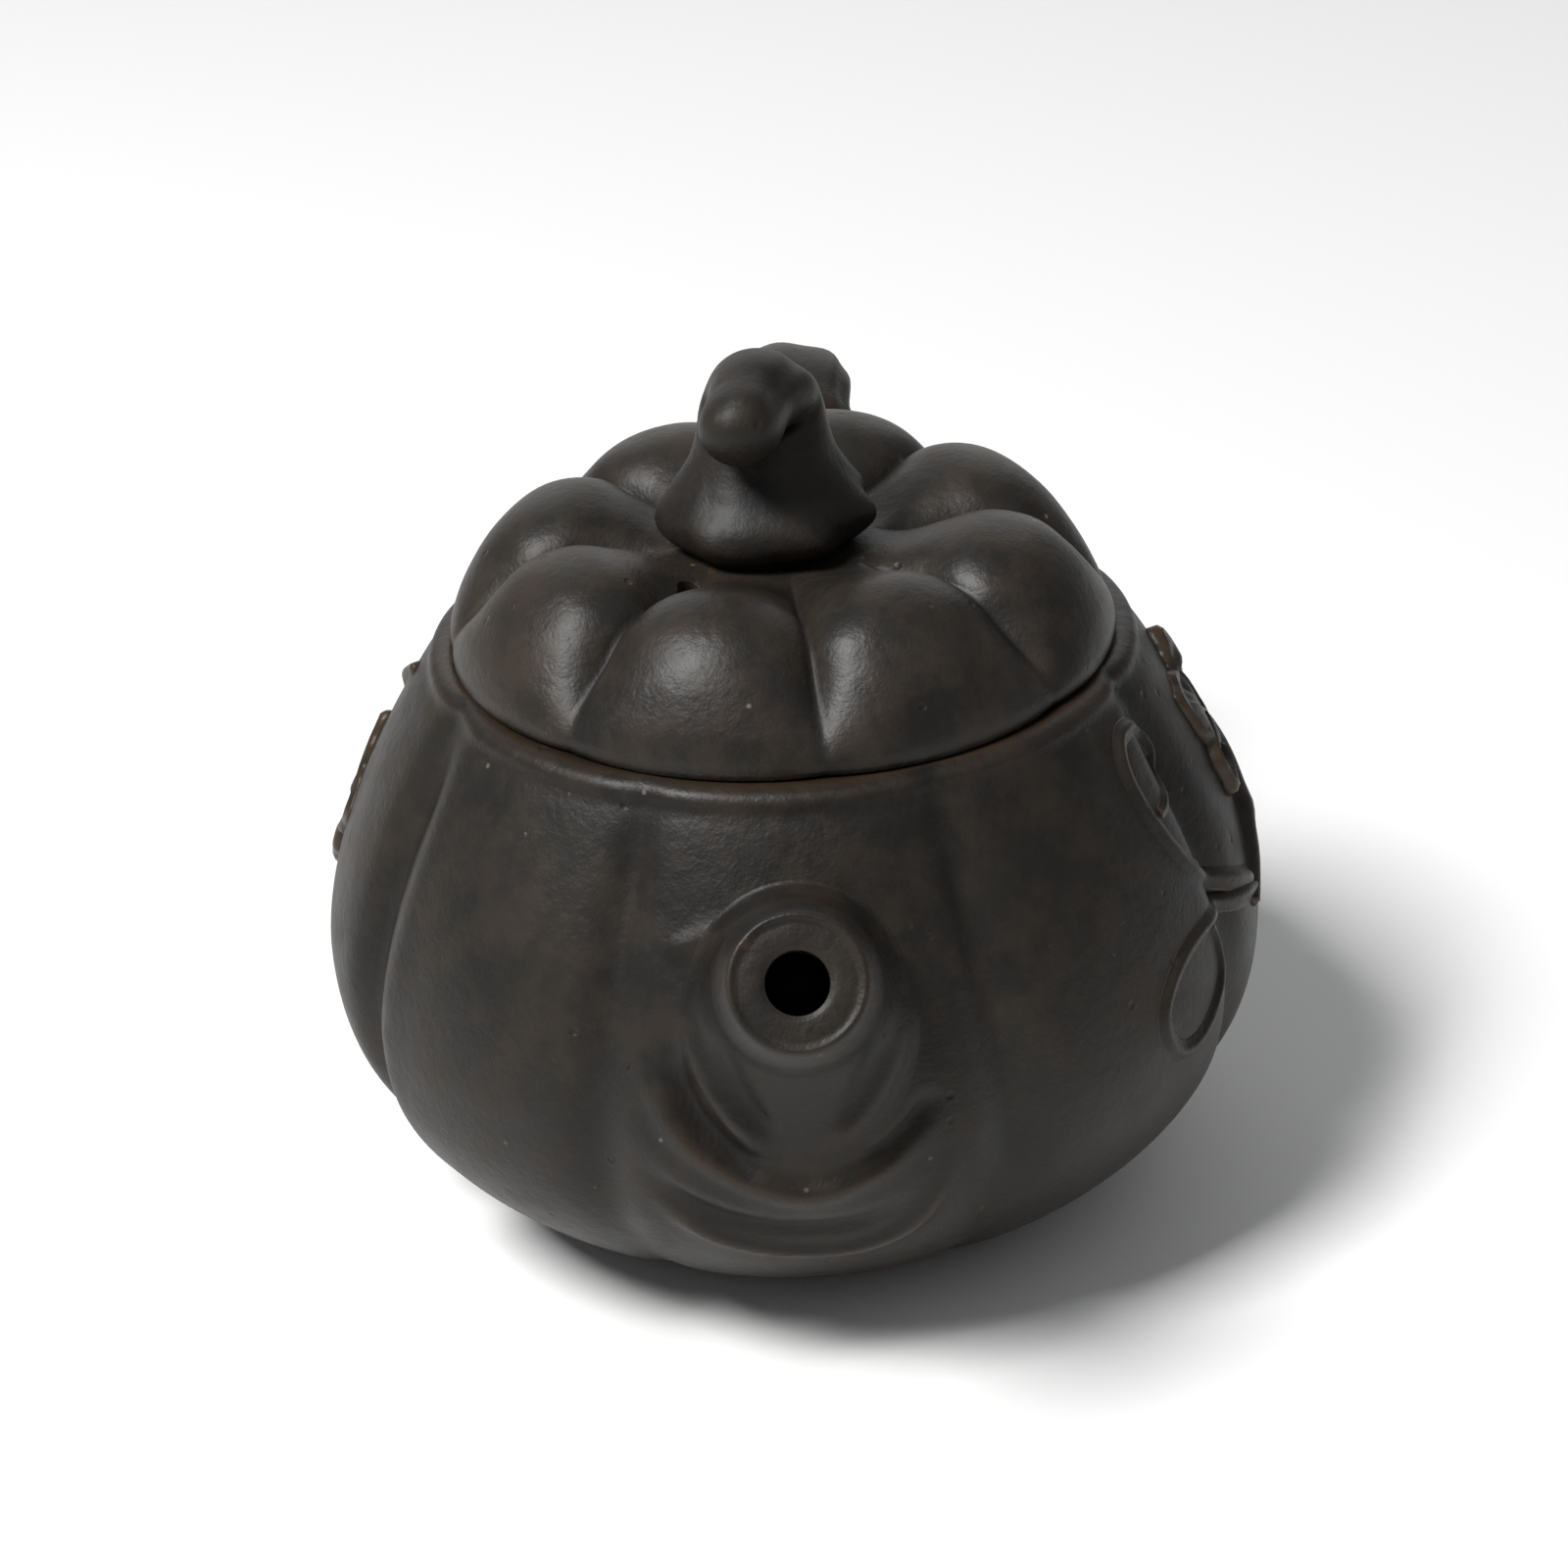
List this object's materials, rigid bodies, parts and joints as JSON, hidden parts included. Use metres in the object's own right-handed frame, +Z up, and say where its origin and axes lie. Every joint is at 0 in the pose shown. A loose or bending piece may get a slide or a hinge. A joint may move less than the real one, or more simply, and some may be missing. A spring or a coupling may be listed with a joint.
{
  "type": "yixing clay teapot",
  "caption": "Small ribbed pumpkin-shaped clay teapot with a folded spout, a loop handle at the back and a lift-off lid with a curled stalk knob.",
  "frame": {"origin": "centre of the foot ring, on the table plane", "axes": "+Z up; the spout points to -Y and the handle to +Y; +X is to the right when the spout faces the viewer"},
  "size_m": [0.11, 0.1525, 0.1035],
  "materials": {
    "clay_body": "burnished unglazed dark brown clay, satin",
    "clay_lid": "burnished unglazed dark brown clay, satin",
    "clay_knob": "burnished unglazed dark brown clay, satin, rubbed by hand",
    "clay_relief": "unglazed dark brown clay, satin",
    "clay_rim": "trued and rubbed dark brown clay, satin",
    "clay_foot": "bare dark brown clay, matt",
    "clay_inside": "bare dark brown clay, matt"
  },
  "bodies": {
    "pot": {"body_left_half": "clay_body", "body_right_half": "clay_body", "base_disc": "clay_inside", "foot_ring": "clay_foot", "mouth_ring": "clay_rim", "spout": "clay_body", "strainer": "clay_inside", "handle": "clay_relief", "spout_fold_upper": "clay_body", "spout_fold_middle": "clay_body", "spout_hem": "clay_body", "vine_right": "clay_relief", "vine_left": "clay_relief", "tendril_right_upper": "clay_relief", "tendril_right_lower": "clay_relief", "tendril_left": "clay_relief", "leaf_right": "clay_relief", "leaf_left": "clay_relief"},
    "lid_guide": {"lid_flange": "clay_rim"},
    "lid": {"lid_dome": "clay_lid", "knob": "clay_knob"}
  },
  "joints": [
    {"name": "lid_lift", "type": "slide", "parent": "pot", "child": "lid_guide", "axis": [0, 0, 1], "range_m": [0, 0.06]},
    {"name": "lid_turn", "type": "hinge", "parent": "lid_guide", "child": "lid", "pos_m": [0, 0, 0.068], "axis": [0, 0, 1], "continuous": true}
  ]
}
